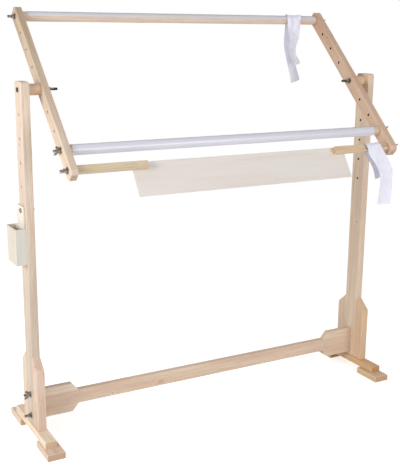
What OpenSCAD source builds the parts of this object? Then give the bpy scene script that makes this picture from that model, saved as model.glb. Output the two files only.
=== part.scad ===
// Embroidery floor stand: two posts on sledge feet, a stretcher, and a frame that tilts between the posts.
// Millimetres, +Z up, +X to the right of the person who sits at the stand, +Y away from them.
// The origin lies on the floor, midway between the posts and under their middle planes.

/* [Feet] */
// Height of each foot pad
pad_h = 15; // [8:1:30]
// Width of a pad across the foot
pad_w = 40; // [28:1:60]
// Length of a pad along the foot
pad_l = 76; // [50:1:110]
// How far a pad sticks out past the end of its runner
pad_overhang = 28; // [5:1:40]
// How far the pads sit in from the middle plane of the post, toward the middle of the stand
pad_inset = 2.5; // [0:0.5:6]
// Height of a runner
runner_h = 16; // [10:1:30]
// Width of a runner
runner_w = 26; // [20:1:40]
// Length of a runner
runner_l = 210; // [160:5:320]
// Edge chamfer of pads and runners
foot_chamfer = 1.5; // [0.5:0.5:4]

/* [Posts] */
// Length of a post
post_l = 753; // [640:1:900]
// Depth of a post, front to back
post_w = 44; // [32:1:60]
// Thickness of a post, left to right
post_t = 18; // [14:1:30]
// Chamfer on the front and back of a post's top end
post_chamfer = 4; // [1:0.5:10]
// Distance of the pivot hole below the post's top end
pivot_drop = 17; // [12:1:40]
// Number of adjusting holes in a post, the pivot hole included
post_holes = 6; // [3:1:7]
// Distance from one adjusting hole to the next, on posts and arms
hole_pitch = 50; // [40:1:60]
// Height of the cheek blocks glued to the front and back of each post's foot
cheek_h = 164; // [100:1:240]
// Depth of a cheek block, front to back
cheek_w = 29; // [15:1:45]
// How far a cheek block's top slopes down to its outer edge
cheek_slope = 22; // [0:1:50]
// Radius of a cheek block's upper outer corner
cheek_round = 6; // [2:1:10]

/* [Stretcher] */
// Height of the stretcher's lower edge above the floor
stretcher_rise = 59; // [52:1:120]
// Height of the stretcher's section
stretcher_h = 32; // [20:1:60]
// Depth of the stretcher's section
stretcher_t = 15; // [12:1:25]
// Height of the blocks glued above and below each end of the stretcher
block_h = 18; // [14:1:30]
// Length of a block's outer edge
block_l = 77; // [50:1:140]
// Length of the sloping end of a block
block_chamfer = 15; // [2:1:40]

/* [Tilting frame] */
// Lean of the frame from upright, its upper end away from the user
frame_lean = 46.4; // [10:0.1:80]
// Width of an arm
arm_w = 32; // [24:1:50]
// Thickness of an arm
arm_t = 15; // [10:1:22]
// Distance from the pivot to the first adjusting hole of an arm
arm_first_hole = 62; // [40:1:90]
// Number of adjusting holes on each side of an arm's pivot
arm_holes = 4; // [3:1:6]
// Wood beyond the last hole of an arm
arm_end = 19; // [9:1:40]
// Chamfer of an arm's corners
arm_chamfer = 7; // [1:0.5:9]
// Holes between the shelf and the lower roller
lower_roller_step = 1; // [1:1:2]
// Diameter of the round spacer between each post and arm
spacer_d = 24; // [14:1:30]
// Length of the round spacer between each post and arm
spacer_l = 28; // [22:1:50]

/* [Rollers] */
// Length of a roller
roller_l = 785; // [600:5:1000]
// Diameter of a roller
roller_d = 21; // [16:0.5:30]
// Play between each end of a roller, or of a shelf bar, and the arm
end_play = 0.5; // [0.2:0.1:2]
// Wall of the snap-on fabric clips
clip_t = 0.8; // [0.6:0.1:2]
// How far round the roller a clip reaches, in degrees
clip_sweep = 200; // [190:5:260]
// Bare wood left of the clip on the top roller
top_clip_left_bare = 11.5; // [2:0.5:80]
// Bare wood right of the clip on the top roller
top_clip_right_bare = 5.5; // [2:0.5:80]
// Direction that the middle of the top clip faces, in degrees from +Y toward +Z
top_clip_facing = 68; // [0:1:360]
// Bare wood left of the clip on the lower roller
lower_clip_left_bare = 5; // [2:0.5:80]
// Bare wood right of the clip on the lower roller
lower_clip_right_bare = 17; // [2:0.5:80]
// Direction that the middle of the lower clip faces, in degrees from +Y toward +Z
lower_clip_facing = 172; // [0:1:360]

/* [Chart shelf] */
// Length of each short bar that carries the chart panel
shelf_bar_l = 156; // [135:1:200]
// Height of a shelf bar's section
shelf_bar_h = 16; // [12:1:20]
// Depth of a shelf bar's section
shelf_bar_t = 12; // [10:1:18]
// Lean of the chart panel from upright, its lower edge toward the user
panel_lean = 33; // [0:1:80]
// How far the chart panel laps onto each shelf bar
panel_lap = 32; // [28:1:120]
// Height of the chart panel along its slope
panel_h = 76; // [40:1:90]
// Thickness of the chart panel
panel_t = 3; // [2:0.5:6]
// How far the panel's top edge stands above the shelf bars
panel_top = 2.5; // [0:0.5:8]

/* [Fasteners] */
// Diameter of every bolt and threaded stud
bolt_d = 6; // [4:0.5:7]
// Radial clearance of a bolt or stud in its hole
running = 0.05; // [0.02:0.01:0.1]
// Side clearance between pieces that turn against each other
side_play = 0.2; // [0.1:0.05:0.5]
// Diameter of a bolt's domed head
head_d = 11; // [10:0.5:16]
// Height of a bolt's domed head
head_h = 3.5; // [2:0.5:5]
// Height of the straight rim of a bolt's head
head_rim = 0.8; // [0.3:0.1:1.5]
// Length of a pivot bolt beyond the arm
pivot_bolt_tail = 23; // [15:1:40]
// Length of a stud inside the wood
stud_embed = 30; // [15:1:50]
// Length of a stud beyond the arm or post that it clamps
stud_tail = 16; // [14:0.5:20]
// Outer diameter of a washer
washer_d = 15; // [12:0.5:20]
// Thickness of a washer
washer_t = 1.2; // [0.8:0.1:2]
// Diameter of a wing nut's hub
nut_hub_d = 10.5; // [9.5:0.5:14]
// Height of a wing nut's hub
nut_hub_h = 6.5; // [5:0.5:9]
// Distance across a wing nut's two wings
wing_span = 25; // [20:1:32]
// Height of the wings' tips above the nut's seat
wing_h = 12; // [9:0.5:14]
// Thickness of a wing
wing_t = 2.2; // [1.5:0.1:3]
// Radius of a wing's rounded tip
wing_tip_r = 2.8; // [2:0.1:3.5]
// Diameter of the small screws behind the chart panel
screw_d = 3; // [2:0.5:4]
// Length of the small screws in the wood
screw_l = 9; // [5:1:12]
// Diameter of a small screw's head
screw_head_d = 6; // [5:0.5:8]
// Height of a small screw's head
screw_head_h = 1.8; // [1:0.2:3]

/* [Pocket] */
// Height of the pocket's box
pocket_h = 78; // [40:1:120]
// Width of the pocket's box, front to back
pocket_w = 64; // [40:1:80]
// Depth of the pocket, out from the post
pocket_d = 24.5; // [18:0.5:60]
// Thickness of the pocket's boards
pocket_t = 4; // [2:0.5:6]
// Distance of the pocket's rim below its bolt
pocket_drop = 36; // [15:1:80]
// Height of the back board above the bolt
pocket_back_rise = 10; // [8:1:30]
// Width of the back board's tab, which stands above the rim
pocket_tab_w = 41; // [30:1:60]
// How far the tab's middle sits behind the bolt
pocket_tab_shift = 6; // [-5:1:8]

/* [Ribbons] */
// Distance from the right arm to the upper ribbon's middle, where it passes over the roller
upper_ribbon_inset = 69; // [60:1:400]
// Distance from the right arm to the lower ribbon's middle, where it passes over the shelf bar
lower_ribbon_inset = 47.5; // [40:0.5:120]
// Width of a ribbon
ribbon_w = 40; // [15:1:50]
// Thickness of a ribbon
ribbon_t = 0.6; // [0.4:0.1:1.2]
// Clearance between a ribbon and what it hangs over
ribbon_gap = 1; // [0.9:0.1:2]
// Length of the upper ribbon's front tail
upper_front_tail = 112; // [40:1:180]
// Length of the upper ribbon's back tail
upper_back_tail = 156; // [40:1:200]
// Length of the lower ribbon's front tail
lower_front_tail = 135; // [40:1:180]
// Length of the lower ribbon's back tail
lower_back_tail = 75; // [40:1:180]

/* [Hidden] */
$fn = 48;

// Places across the stand, from the middle out
arm_in = roller_l / 2 + end_play;
arm_out = arm_in + arm_t;
spacer_in = arm_out + side_play;
post_in = spacer_in + spacer_l;
post_out = post_in + post_t;
post_mid = (post_in + post_out) / 2;
pocket_seat = post_out + pocket_t;
pocket_out = post_out + pocket_d;
// The pocket's front wall lines up with the front of the post
pocket_middle = (pocket_w - post_w) / 2;

// Heights
runner_top = pad_h + runner_h;
post_top = runner_top + post_l;
pivot_z = post_top - pivot_drop;
pocket_bolt_z = pivot_z - (post_holes - 1) * hole_pitch;
pocket_rim = pocket_bolt_z - pocket_drop;
pocket_bottom = pocket_rim - pocket_h;
stretcher_top = stretcher_rise + stretcher_h;
high_brace_z = stretcher_top + block_h / 2;
low_brace_z = stretcher_rise - block_h / 2;

// Places along an arm, measured from the pivot
last_hole = arm_first_hole + (arm_holes - 1) * hole_pitch;
arm_half = last_hole + arm_end;
lower_roller_at = -(last_hole - lower_roller_step * hole_pitch);
shelf_at = -last_hole;

// Places across the shelf and the ribbons
shelf_bar_outer = arm_in - end_play;
shelf_bar_inner = shelf_bar_outer - shelf_bar_l;
panel_half = shelf_bar_inner + panel_lap;
upper_ribbon_x = arm_in - upper_ribbon_inset;
lower_ribbon_x = arm_in - lower_ribbon_inset;

bolt_r = bolt_d / 2;
hole_r = bolt_r + running;
clip_in_r = roller_d / 2 + running;
clip_out_r = clip_in_r + clip_t;
shelf_bar_half = norm([shelf_bar_h, shelf_bar_t]) / 2;
// How far a cutting shape runs past the surface that it cuts
past = 1;
// Depth that a wing sinks into its hub
wing_root = 1.2;
// Share of its diameter that a small screw's head keeps at its top
screw_head_taper = 0.7;
// Places of the panel screws along a shelf bar, from its inner end
screw_places = [8, 24];
// Turn of each wing nut about its bolt
pivot_nut_turn = 75;
top_nut_turn = 80;
lower_nut_turn = 35;
shelf_nut_turn = 60;
high_brace_turn = 20;
low_brace_turn = 70;

// How each ribbon hangs: [shift right, shift away from what it hangs over, turn] from its loop down
upper_front_keys = [[0, 0, 0], [-1, 1, 4], [-3, 4, 22], [-4, 5, 42], [-1, 5, 46], [8, 6, 30]];
upper_back_keys = [[0, 0, 0], [-1, 1, 3], [-1, 3, 12], [4, 3, 22], [13, 3, 24], [23, 4, 18]];
lower_front_keys = [[0, 0, 0], [18, 2, 4], [33, 4, 2], [35, 5, 4], [33, 6, 0], [31, 7, -3]];
lower_back_keys = [[0, 0, 0], [13, 1, 2], [25, 3, 6], [33, 4, 10], [38, 4, 12], [44, 5, 12]];
// How far a ribbon moves right as it passes over, from its back tail to its front tail
upper_slant = -12;
lower_slant = -4;
// How far a ribbon's two tails start to the right of its middle, where it passes over
upper_bow = 0;
lower_bow = 4;
ribbon_steps = 14;
loop_steps = 10;
// Steps round a cheek block's corner, a bolt's domed head, and each side of a clip's mouth
corner_steps = 4;
dome_steps = 6;
mouth_steps = 4;

wood = [0.89, 0.80, 0.68];
pale_wood = [0.92, 0.89, 0.83];
board = [0.89, 0.86, 0.83];
plastic = [0.84, 0.86, 0.93];
cloth = [0.88, 0.88, 0.95];
steel = [0.45, 0.42, 0.38];

// Mirrors what is drawn on the right to the left, side -1
module on_side(side) {
    if (side > 0) {
        children();
    } else {
        mirror([1, 0, 0]) children();
    }
}

// Extrudes an outline in the plane of +Y and +Z along X
module slab(x0, x1) {
    translate([x0, 0, 0]) rotate([90, 0, 90]) linear_extrude(height = x1 - x0) children();
}

// A round bar along X
module rod(r, x0, x1) {
    translate([x0, 0, 0]) rotate([0, 90, 0]) cylinder(r = r, h = x1 - x0);
}

// Stands the arm's own frame, +Z along the arm and its middle at the pivot, in its place
module along_arm() {
    translate([0, 0, pivot_z]) rotate([-frame_lean, 0, 0]) children();
}

// The axis of what an arm holds at a distance along it from the pivot, left unturned
module at_hole(along) {
    translate([0, along * sin(frame_lean), pivot_z + along * cos(frame_lean)]) children();
}

// A box with its upper edges and its ends chamfered, drawn from its lower middle
module chamfered_bar(w, l, h, c) {
    rotate([90, 0, 0]) linear_extrude(height = l, center = true)
        polygon([[-w / 2, 0], [w / 2, 0], [w / 2, h - c], [w / 2 - c, h], [c - w / 2, h], [-w / 2, h - c]]);
}

module runner(side) {
    color(wood) on_side(side) translate([post_mid, 0, pad_h])
        chamfered_bar(runner_w, runner_l, runner_h, foot_chamfer);
}

module pad(side, end) {
    middle = end * (runner_l / 2 + pad_overhang - pad_l / 2);
    color(wood) on_side(side) translate([post_mid - pad_inset, middle, 0])
        chamfered_bar(pad_w, pad_l, pad_h, foot_chamfer);
}

module post_outline() {
    half = post_w / 2;
    c = post_chamfer;
    polygon([[-half, runner_top], [half, runner_top], [half, post_top - c], [half - c, post_top],
        [c - half, post_top], [-half, post_top - c]]);
}

module post(side) {
    color(wood) on_side(side) difference() {
        slab(post_in, post_out) post_outline();
        for (i = [0 : post_holes - 1])
            translate([0, 0, pivot_z - i * hole_pitch]) rod(hole_r, post_in - past, post_out + past);
        for (z = [high_brace_z, low_brace_z])
            translate([0, 0, z]) rod(hole_r, post_in - past, post_out + past);
    }
}

module cheek_outline() {
    inner = post_w / 2;
    outer = inner + cheek_w;
    shoulder = runner_top + cheek_h - cheek_slope;
    r = min(cheek_round, cheek_w / 2);
    round_y = outer - r;
    round_z = shoulder - r;
    top = runner_top + cheek_h;
    lean = atan2(cheek_slope, cheek_w);
    polygon(concat([[inner, runner_top], [outer, runner_top]],
        [for (i = [0 : corner_steps]) let (a = i * (90 - lean) / corner_steps)
            [round_y + r * cos(a), round_z + r * sin(a)]],
        [[inner, top]]));
}

module cheek(side, end) {
    color(wood) on_side(side) mirror([0, end > 0 ? 0 : 1, 0]) slab(post_in, post_out) cheek_outline();
}

module stretcher() {
    color(wood) translate([-post_in, -stretcher_t / 2, stretcher_rise])
        cube([2 * post_in, stretcher_t, stretcher_h]);
}

// The block above the stretcher's end, with the hole for its stud
module top_block_shape() {
    far = post_in - block_l;
    difference() {
        rotate([90, 0, 0]) linear_extrude(height = stretcher_t, center = true)
            polygon([[post_in, stretcher_top], [post_in, stretcher_top + block_h],
                [far, stretcher_top + block_h], [far - block_chamfer, stretcher_top]]);
        translate([0, 0, high_brace_z]) rod(hole_r, post_in - stud_embed, post_in + past);
    }
}

module top_block(side) {
    color(wood) on_side(side) top_block_shape();
}

module bottom_block(side) {
    middle = (stretcher_rise + stretcher_top) / 2;
    color(wood) on_side(side) translate([0, 0, middle]) mirror([0, 0, 1]) translate([0, 0, -middle])
        top_block_shape();
}

// One threaded stud in the wood, from its buried end to past what it clamps
module stud(from, outer_face) {
    rod(bolt_r, from, outer_face + stud_tail);
}

module washer(x) {
    difference() {
        rod(washer_d / 2, x, x + washer_t);
        rod(hole_r, x - past, x + washer_t + past);
    }
}

module stretcher_studs() {
    color(steel) for (side = [-1, 1], z = [high_brace_z, low_brace_z])
        on_side(side) translate([0, 0, z]) stud(post_in - stud_embed, post_out);
}

module stretcher_washers() {
    color(steel) for (side = [-1, 1], z = [high_brace_z, low_brace_z])
        on_side(side) translate([0, 0, z]) washer(post_out);
}

module spacer(side) {
    color(wood) on_side(side) translate([0, 0, pivot_z]) difference() {
        rod(spacer_d / 2, spacer_in, post_in);
        rod(hole_r, spacer_in - past, post_in + past);
    }
}

// A bolt along X with its domed head outward of the seat, and its tip inward
module domed_bolt(seat, tip) {
    rise = head_h - head_rim;
    dome = [for (i = [0 : dome_steps]) let (a = i * 90 / dome_steps)
        [head_d / 2 * cos(a), seat + head_rim + rise * sin(a)]];
    rotate([0, 90, 0]) rotate_extrude()
        polygon(concat([[0, tip], [bolt_r, tip], [bolt_r, seat], [head_d / 2, seat]], dome));
}

module pivot_bolts() {
    color(steel) for (side = [-1, 1])
        on_side(side) translate([0, 0, pivot_z]) domed_bolt(post_out, arm_in - pivot_bolt_tail);
}

module pivot_washers() {
    color(steel) for (side = [-1, 1])
        on_side(side) translate([0, 0, pivot_z]) washer(arm_in - side_play - washer_t);
}

// The back board's outline: as wide as the box's inside up to the rim, and a tab above it
module pocket_back_outline() {
    front = pocket_middle + pocket_t - pocket_w / 2;
    rear = pocket_middle - pocket_t + pocket_w / 2;
    tab_front = pocket_tab_shift - pocket_tab_w / 2;
    tab_rear = pocket_tab_shift + pocket_tab_w / 2;
    top = pocket_bolt_z + pocket_back_rise;
    polygon([[front, pocket_bottom], [rear, pocket_bottom], [rear, pocket_rim], [tab_rear, pocket_rim],
        [tab_rear, top], [tab_front, top], [tab_front, pocket_rim], [front, pocket_rim]]);
}

// The pocket hangs on the left post, so it is drawn on the right and mirrored
module pocket_back() {
    color(pale_wood) on_side(-1) difference() {
        slab(post_out, pocket_seat) pocket_back_outline();
        translate([0, 0, pocket_bolt_z]) rod(hole_r, post_out - past, pocket_seat + past);
    }
}

module pocket_side(end) {
    color(pale_wood) on_side(-1) translate([0, pocket_middle, 0]) mirror([0, end > 0 ? 0 : 1, 0])
        translate([post_out, pocket_w / 2 - pocket_t, pocket_bottom]) cube([pocket_d, pocket_t, pocket_h]);
}

module pocket_outer_wall() {
    width = pocket_w - 2 * pocket_t;
    color(pale_wood) on_side(-1)
        translate([pocket_out - pocket_t, pocket_middle - width / 2, pocket_bottom])
            cube([pocket_t, width, pocket_h]);
}

module pocket_floor() {
    width = pocket_w - 2 * pocket_t;
    color(pale_wood) on_side(-1) translate([pocket_seat, pocket_middle - width / 2, pocket_bottom])
        cube([pocket_out - pocket_t - pocket_seat, width, pocket_t]);
}

module pocket_bolt() {
    color(steel) on_side(-1) translate([0, 0, pocket_bolt_z])
        domed_bolt(pocket_seat, post_in - nut_hub_h - side_play);
}

module pocket_nut() {
    color(steel) on_side(-1) translate([0, 0, pocket_bolt_z]) difference() {
        translate([post_in - nut_hub_h, 0, 0]) rotate([0, 90, 0])
            cylinder(d = nut_hub_d, h = nut_hub_h, $fn = 6);
        rod(hole_r, post_in - nut_hub_h - past, post_in + past);
    }
}

module arm_outline() {
    half = arm_w / 2;
    c = arm_chamfer;
    polygon([[-half, c - arm_half], [c - half, -arm_half], [half - c, -arm_half], [half, c - arm_half],
        [half, arm_half - c], [half - c, arm_half], [c - half, arm_half], [-half, arm_half - c]]);
}

module arm(side) {
    color(wood) on_side(side) along_arm() difference() {
        slab(arm_in, arm_out) arm_outline();
        rod(hole_r, arm_in - past, arm_out + past);
        for (end = [-1, 1], i = [0 : arm_holes - 1])
            translate([0, 0, end * (arm_first_hole + i * hole_pitch)])
                rod(hole_r, arm_in - past, arm_out + past);
    }
}

module arm_washers() {
    color(steel) for (side = [-1, 1], along = [last_hole, lower_roller_at, shelf_at])
        on_side(side) at_hole(along) washer(arm_out);
}

// A wooden roller with the hole for a stud in each end
module roller(along) {
    half = roller_l / 2;
    color(wood) at_hole(along) difference() {
        rod(roller_d / 2, -half, half);
        for (side = [-1, 1])
            on_side(side) rod(hole_r, half - stud_embed, half + past);
    }
}

module roller_studs(along) {
    color(steel) for (side = [-1, 1])
        on_side(side) at_hole(along) stud(roller_l / 2 - stud_embed, arm_out);
}

// The part of a clip's ring that stays open, as a fan about the roller's axis
module clip_mouth(facing) {
    half = (360 - clip_sweep) / 2;
    reach = 2 * clip_out_r;
    polygon(concat([[0, 0]],
        [for (i = [-mouth_steps : mouth_steps]) let (a = facing + 180 + i * half / mouth_steps)
            reach * [cos(a), sin(a)]]));
}

module clip(along, left_bare, right_bare, facing) {
    x0 = left_bare - roller_l / 2;
    x1 = roller_l / 2 - right_bare;
    color(plastic) at_hole(along) difference() {
        rod(clip_out_r, x0, x1);
        rod(clip_in_r, x0 - past, x1 + past);
        slab(x0 - past, x1 + past) clip_mouth(facing);
    }
}

// Stands the shelf's own frame, +Z up along the panel and +Y behind it, on the shelf's axis
module along_panel() {
    at_hole(shelf_at) rotate([-panel_lean, 0, 0]) children();
}

module shelf_bar(side) {
    color(wood) on_side(side) along_panel() difference() {
        translate([shelf_bar_inner, -shelf_bar_t / 2, -shelf_bar_h / 2])
            cube([shelf_bar_l, shelf_bar_t, shelf_bar_h]);
        rod(hole_r, shelf_bar_outer - stud_embed, shelf_bar_outer + past);
        for (place = screw_places)
            translate([shelf_bar_inner + place, shelf_bar_t / 2 + past, 0])
                rotate([90, 0, 0]) cylinder(d = screw_d + 2 * running, h = screw_l - panel_t + past);
    }
}

module shelf_studs() {
    color(steel) for (side = [-1, 1])
        on_side(side) along_panel() stud(shelf_bar_outer - stud_embed, arm_out);
}

module chart_panel() {
    top = shelf_bar_h / 2 + panel_top;
    color(board) along_panel() difference() {
        translate([-panel_half, shelf_bar_t / 2, top - panel_h]) cube([2 * panel_half, panel_t, panel_h]);
        for (side = [-1, 1], place = screw_places)
            on_side(side) translate([shelf_bar_inner + place, shelf_bar_t / 2 - past, 0])
                rotate([-90, 0, 0]) cylinder(d = screw_d + 2 * running, h = panel_t + 2 * past);
    }
}

module panel_screws() {
    back = shelf_bar_t / 2 + panel_t;
    color(steel) for (side = [-1, 1], place = screw_places)
        on_side(side) along_panel() translate([shelf_bar_inner + place, back, 0]) {
            rotate([90, 0, 0]) cylinder(d = screw_d, h = screw_l);
            rotate([-90, 0, 0])
                cylinder(d1 = screw_head_d, d2 = screw_head_taper * screw_head_d, h = screw_head_h);
        }
}

// One wing's outline in the plane of the bolt (first) and the span (second)
module wing_outline() {
    hub_r = nut_hub_d / 2 - wing_root;
    tip = [wing_h - wing_tip_r, wing_span / 2 - wing_tip_r];
    low = [wing_tip_r / 2, hub_r];
    high = [nut_hub_h, hub_r];
    run = tip - (low + high) / 2;
    across = [run[1], -run[0]] * wing_tip_r / norm(run);
    polygon([low, high, tip + across, tip - across]);
    translate(tip) circle(r = wing_tip_r);
}

// A wing nut with its seat at x = 0 and its wings pointing to +X
module wing_nut(turn) {
    rotate([turn, 0, 0]) difference() {
        union() {
            rod(nut_hub_d / 2, 0, nut_hub_h);
            for (end = [0, 1])
                mirror([0, 0, end]) rotate([90, 0, 0])
                    linear_extrude(height = wing_t, center = true) wing_outline();
        }
        rod(hole_r, -past, nut_hub_h + past);
    }
}

module pivot_nut(side) {
    color(steel) on_side(side) translate([arm_in - washer_t - 2 * side_play, 0, pivot_z])
        mirror([1, 0, 0]) wing_nut(pivot_nut_turn);
}

module arm_nut(side, along, turn) {
    color(steel) on_side(side) at_hole(along)
        translate([arm_out + washer_t + side_play, 0, 0]) wing_nut(turn);
}

module brace_nut(side, z, turn) {
    color(steel) on_side(side) translate([post_out + washer_t + side_play, 0, z]) wing_nut(turn);
}

// A smooth curve through evenly spaced keys, at t from 0 to 1
function along_keys(k, t) =
    let (n = len(k) - 1, i = min(floor(t * n), n - 1), f = t * n - i,
        a = k[max(i - 1, 0)], b = k[i], c = k[i + 1], d = k[min(i + 2, n)])
    b + 0.5 * f * ((c - a) + f * ((2 * a - 5 * b + 4 * c - d) + f * (3 * b - a - 3 * c + d)));

// One station of a hanging tail: its middle and the turn of its width
function tail_station(keys, t, length, r, side, x) =
    let (k = along_keys(keys, t)) [[x + k[0], side * (r + k[1]), -length * t], k[2]];

// A ribbon from its front tail's tip, over a bar of radius r, to its back tail's tip
function ribbon_stations(x, slant, bow, r, front, front_l, back, back_l) = concat(
    [for (i = [ribbon_steps : -1 : 1])
        tail_station(front, i / ribbon_steps, front_l, r, -1, x + bow + slant / 2)],
    [for (i = [0 : loop_steps]) let (a = 180 - i * 180 / loop_steps, away = a / 90 - 1)
        [[x + bow * away * away - slant / 2 * cos(a), r * cos(a), r * sin(a)], 0]],
    [for (i = [1 : ribbon_steps])
        tail_station(back, i / ribbon_steps, back_l, r, 1, x + bow - slant / 2)]);

// The six corners of a ribbon's section at station i, square to the way that the ribbon runs
function ribbon_ring(s, i) =
    let (step = s[min(i + 1, len(s) - 1)][0] - s[max(i - 1, 0)][0],
        run = step / norm(step),
        level = [cos(s[i][1]), sin(s[i][1]), 0],
        square = level - (level * run) * run,
        across = square / norm(square),
        out = cross(across, run) * ribbon_t / 2,
        edge = across * ribbon_w / 2,
        middle = s[i][0])
    [middle - edge + out, middle + out, middle + edge + out,
        middle + edge - out, middle - out, middle - edge - out];

module ribbon_strip(stations) {
    n = len(stations);
    // Corners of each station's section
    k = 6;
    last = (n - 1) * k;
    polyhedron(
        points = [for (i = [0 : n - 1]) each ribbon_ring(stations, i)],
        faces = concat(
            [for (i = [0 : n - 2], j = [0 : k - 1]) let (a = i * k, b = a + k, next = (j + 1) % k)
                [a + j, b + next, b + j]],
            [for (i = [0 : n - 2], j = [0 : k - 1]) let (a = i * k, b = a + k, next = (j + 1) % k)
                [a + j, a + next, b + next]],
            [for (j = [1 : k - 2]) [0, j + 1, j]],
            [for (j = [1 : k - 2]) [last, last + j, last + j + 1]]));
}

module upper_ribbon() {
    color(cloth) at_hole(last_hole)
        ribbon_strip(ribbon_stations(upper_ribbon_x, upper_slant, upper_bow,
            clip_out_r + ribbon_gap + ribbon_t / 2,
            upper_front_keys, upper_front_tail, upper_back_keys, upper_back_tail));
}

module lower_ribbon() {
    color(cloth) at_hole(shelf_at)
        ribbon_strip(ribbon_stations(lower_ribbon_x, lower_slant, lower_bow,
            shelf_bar_half + ribbon_gap + ribbon_t / 2,
            lower_front_keys, lower_front_tail, lower_back_keys, lower_back_tail));
}

post(-1);  // left_post
post(1);  // right_post
runner(-1);  // left_runner
runner(1);  // right_runner
pad(-1, -1);  // left_front_pad
pad(-1, 1);  // left_back_pad
pad(1, -1);  // right_front_pad
pad(1, 1);  // right_back_pad
cheek(-1, -1);  // left_front_cheek
cheek(-1, 1);  // left_back_cheek
cheek(1, -1);  // right_front_cheek
cheek(1, 1);  // right_back_cheek
stretcher();
top_block(-1);  // left_top_block
bottom_block(-1);  // left_bottom_block
top_block(1);  // right_top_block
bottom_block(1);  // right_bottom_block
stretcher_studs();
stretcher_washers();
spacer(-1);  // left_spacer
spacer(1);  // right_spacer
pivot_bolts();
pivot_washers();
pocket_back();
pocket_side(-1);  // pocket_front_wall
pocket_side(1);  // pocket_rear_wall
pocket_outer_wall();
pocket_floor();
pocket_bolt();
pocket_nut();
arm(-1);  // left_arm
arm(1);  // right_arm
arm_washers();
roller(last_hole);  // top_roller
clip(last_hole, top_clip_left_bare, top_clip_right_bare, top_clip_facing);  // top_clip
roller_studs(last_hole);  // top_roller_studs
roller(lower_roller_at);  // lower_roller
clip(lower_roller_at, lower_clip_left_bare, lower_clip_right_bare, lower_clip_facing);  // lower_clip
roller_studs(lower_roller_at);  // lower_roller_studs
shelf_bar(-1);  // left_shelf_bar
shelf_bar(1);  // right_shelf_bar
shelf_studs();
chart_panel();
panel_screws();
pivot_nut(-1);  // left_pivot_nut
pivot_nut(1);  // right_pivot_nut
arm_nut(-1, last_hole, top_nut_turn);  // left_top_nut
arm_nut(1, last_hole, top_nut_turn);  // right_top_nut
arm_nut(-1, lower_roller_at, lower_nut_turn);  // left_lower_nut
arm_nut(1, lower_roller_at, lower_nut_turn);  // right_lower_nut
arm_nut(-1, shelf_at, shelf_nut_turn);  // left_shelf_nut
arm_nut(1, shelf_at, shelf_nut_turn);  // right_shelf_nut
brace_nut(-1, high_brace_z, high_brace_turn);  // left_high_brace_nut
brace_nut(-1, low_brace_z, low_brace_turn);  // left_low_brace_nut
brace_nut(1, high_brace_z, high_brace_turn);  // right_high_brace_nut
brace_nut(1, low_brace_z, low_brace_turn);  // right_low_brace_nut
upper_ribbon();
lower_ribbon();
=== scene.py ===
import math

import bmesh
import bpy
from mathutils import Euler, Matrix, Vector


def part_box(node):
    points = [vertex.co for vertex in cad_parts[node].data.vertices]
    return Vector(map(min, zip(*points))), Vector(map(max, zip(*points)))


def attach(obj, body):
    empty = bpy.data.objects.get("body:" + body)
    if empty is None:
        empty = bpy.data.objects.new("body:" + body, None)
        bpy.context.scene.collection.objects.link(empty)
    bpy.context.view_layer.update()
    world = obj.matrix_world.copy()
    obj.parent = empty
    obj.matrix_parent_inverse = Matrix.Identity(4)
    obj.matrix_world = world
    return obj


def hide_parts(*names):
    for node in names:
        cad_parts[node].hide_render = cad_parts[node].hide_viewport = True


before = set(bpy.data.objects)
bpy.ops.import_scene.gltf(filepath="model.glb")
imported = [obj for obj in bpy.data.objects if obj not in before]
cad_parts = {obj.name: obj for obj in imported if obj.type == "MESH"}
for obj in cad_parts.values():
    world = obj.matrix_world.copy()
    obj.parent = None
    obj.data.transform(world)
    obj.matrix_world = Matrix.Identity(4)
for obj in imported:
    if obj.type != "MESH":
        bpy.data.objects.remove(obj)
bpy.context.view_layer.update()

MM = 0.001
X_AXIS = Vector((1, 0, 0))
Y_AXIS = Vector((0, 1, 0))
Z_AXIS = Vector((0, 0, 1))
LEFT = -1
RIGHT = 1

# Softened edges
WOOD_EDGE = 0.7 * MM
BOARD_EDGE = 0.7 * MM
SCREW_EDGE = 0.2 * MM
EDGE_STEPS = 3
SHARP_EDGE = math.radians(30)
SHORTEST_EDGE = 0.9 * MM
MERGE = 0.01 * MM
FLAT = math.radians(0.5)
# A bore's wall is made of facets smaller than this, whose normals hardly point along X
BORE_FACET = 13 * MM * MM
BORE_FACING = 0.1
# How strongly painted shade darkens the bores' walls on the right, and on the left
RIGHT_BORE_SHADE = 1.0
LEFT_BORE_SHADE = 0.0

# Fasteners, as in the stand's source
BOLT_R = 3.0 * MM
HOLE_R = 3.05 * MM
SHANK_R = BOLT_R - 0.05 * MM
THREAD_PITCH = 1.0 * MM
THREAD_DEPTH = 0.55 * MM
THREAD_STEPS = 16
CREST_R = BOLT_R - 0.02 * MM
# Where a thread's flat crest starts and ends, as shares of the pitch
CREST = (0.44, 0.56)
TIP_CHAMFER = 0.8 * MM
HEAD_D = 11 * MM
HEAD_H = 3.5 * MM
HEAD_RIM = 0.8 * MM
WASHER_D = 15 * MM
WASHER_T = 1.2 * MM
STUD_DEPTH = 30 * MM
PIVOT_THREAD = 40 * MM
POCKET_THREAD = 22 * MM
NUT_HUB_D = 10.5 * MM
NUT_HUB_H = 6.5 * MM
NUT_COUNTERSINK = 0.35 * MM
WING_SPAN = 25 * MM
WING_H = 12 * MM
WING_T = 1.7 * MM
WING_TIP_R = 2.8 * MM
WING_EDGE = 0.45 * MM
# How deep a wing's root lies in the hub, how far above the seat it starts, and the arc of its round tip
WING_SUNK = 1.3 * MM
WING_FOOT = 0.9 * MM
WING_TIP_START = math.radians(140)
WING_TIP_SWEEP = math.radians(205)
WING_TIP_STEPS = 9
WING_RIM = math.radians(50)
# A wing's thickness at its root, and how much less it is at its tip, as shares of WING_T
WING_ROOT_SHARE = 1.35
WING_TAPER = 0.5
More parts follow.
